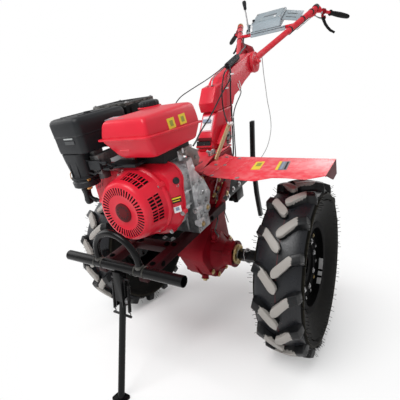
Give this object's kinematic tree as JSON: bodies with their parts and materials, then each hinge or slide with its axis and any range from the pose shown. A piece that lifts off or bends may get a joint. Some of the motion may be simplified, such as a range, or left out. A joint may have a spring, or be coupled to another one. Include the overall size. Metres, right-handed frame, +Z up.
{
  "type": "two-wheel walking tractor",
  "caption": "Walk-behind two-wheel tractor with a front petrol engine, lugged tyres, fenders, tilting handlebar, folding front stand and rear hitch with depth stake.",
  "frame": {"origin": "middle of the whole machine's box, at the ground", "axes": "+Z up, -Y the way the machine drives forward, +X the machine's left side"},
  "size_m": [1.066, 1.714, 1.6306],
  "materials": {
    "red_paint": "gloss",
    "casting_red": "semi-gloss paint over cast surface",
    "black_paint": "gloss",
    "aluminium": "as cast",
    "tyre_rubber": "matt",
    "black_plastic": "satin",
    "grey_plastic": "satin",
    "zinc": "yellow zinc plated",
    "steel": "bright",
    "rubber": "matt",
    "grey_cable": "matt"
  },
  "bodies": {
    "chassis": {"air_cleaner": "black_plastic", "air_cleaner_bowl": "black_plastic", "axle_caps": "zinc", "blower_housing": "red_paint", "bumper_hoop": "black_paint", "cable_brake": "rubber", "cable_choke": "rubber", "cable_clutch": "rubber", "cable_crossing": "rubber", "cable_selector": "rubber", "cable_slack": "grey_cable", "cable_sleeve": "black_plastic", "cable_throttle": "rubber", "carburettor": "aluminium", "clutch_housing": "casting_red", "clutch_lever": "zinc", "column_arm": "red_paint", "column_box": "red_paint", "column_plate": "red_paint", "cylinder_block": "aluminium", "depth_stake": "black_paint", "engine_crankcase": "aluminium", "engine_frame": "casting_red", "fender_left": "red_paint", "fender_right": "red_paint", "front_bumper": "black_paint", "fuel_cap": "black_plastic", "fuel_tank": "red_paint", "gearbox_lower": "casting_red", "gearbox_upper": "casting_red", "hitch_beam": "black_paint", "hitch_socket": "black_paint", "muffler": "black_paint", "muffler_guard": "black_paint", "pto_cover": "black_paint", "recoil_cover": "red_paint", "selector_arm": "zinc", "shift_rod": "steel", "stand_bracket": "black_paint", "starter_grip": "black_plastic", "throttle_bracket": "steel"},
    "wheel_left": {"tyre_left": "tyre_rubber", "wheel_rim_left": "black_paint", "wheel_hub_left": "black_paint", "half_shaft_left": "steel"},
    "wheel_right": {"tyre_right": "tyre_rubber", "wheel_rim_right": "black_paint", "wheel_hub_right": "black_paint", "half_shaft_right": "steel"},
    "stand": {"stand_leg": "black_paint", "stand_springs": "black_paint"},
    "handlebar": {"handlebar": "red_paint", "control_panel": "grey_plastic", "hand_grips": "rubber", "hand_levers": "black_plastic", "gear_lever": "steel", "cable_riser": "rubber"}
  },
  "joints": [
    {"name": "wheel_left_spin", "type": "hinge", "parent": "chassis", "child": "wheel_left", "pos_m": [0.4185, -0.251, 0.33], "axis": [1, 0, 0], "continuous": true},
    {"name": "wheel_right_spin", "type": "hinge", "parent": "chassis", "child": "wheel_right", "pos_m": [-0.4185, -0.251, 0.33], "axis": [1, 0, 0], "continuous": true},
    {"name": "stand_fold", "type": "hinge", "parent": "chassis", "child": "stand", "pos_m": [0, -0.79549, 0.32719], "axis": [1, 0, 0], "range_deg": [0, 100], "deforming": ["stand_springs"]},
    {"name": "handlebar_height", "type": "hinge", "parent": "chassis", "child": "handlebar", "pos_m": [0, 0.21572, 1.21933], "axis": [1, 0, 0], "range_deg": [-12, 12], "deforming": ["cable_crossing", "cable_slack"]}
  ]
}
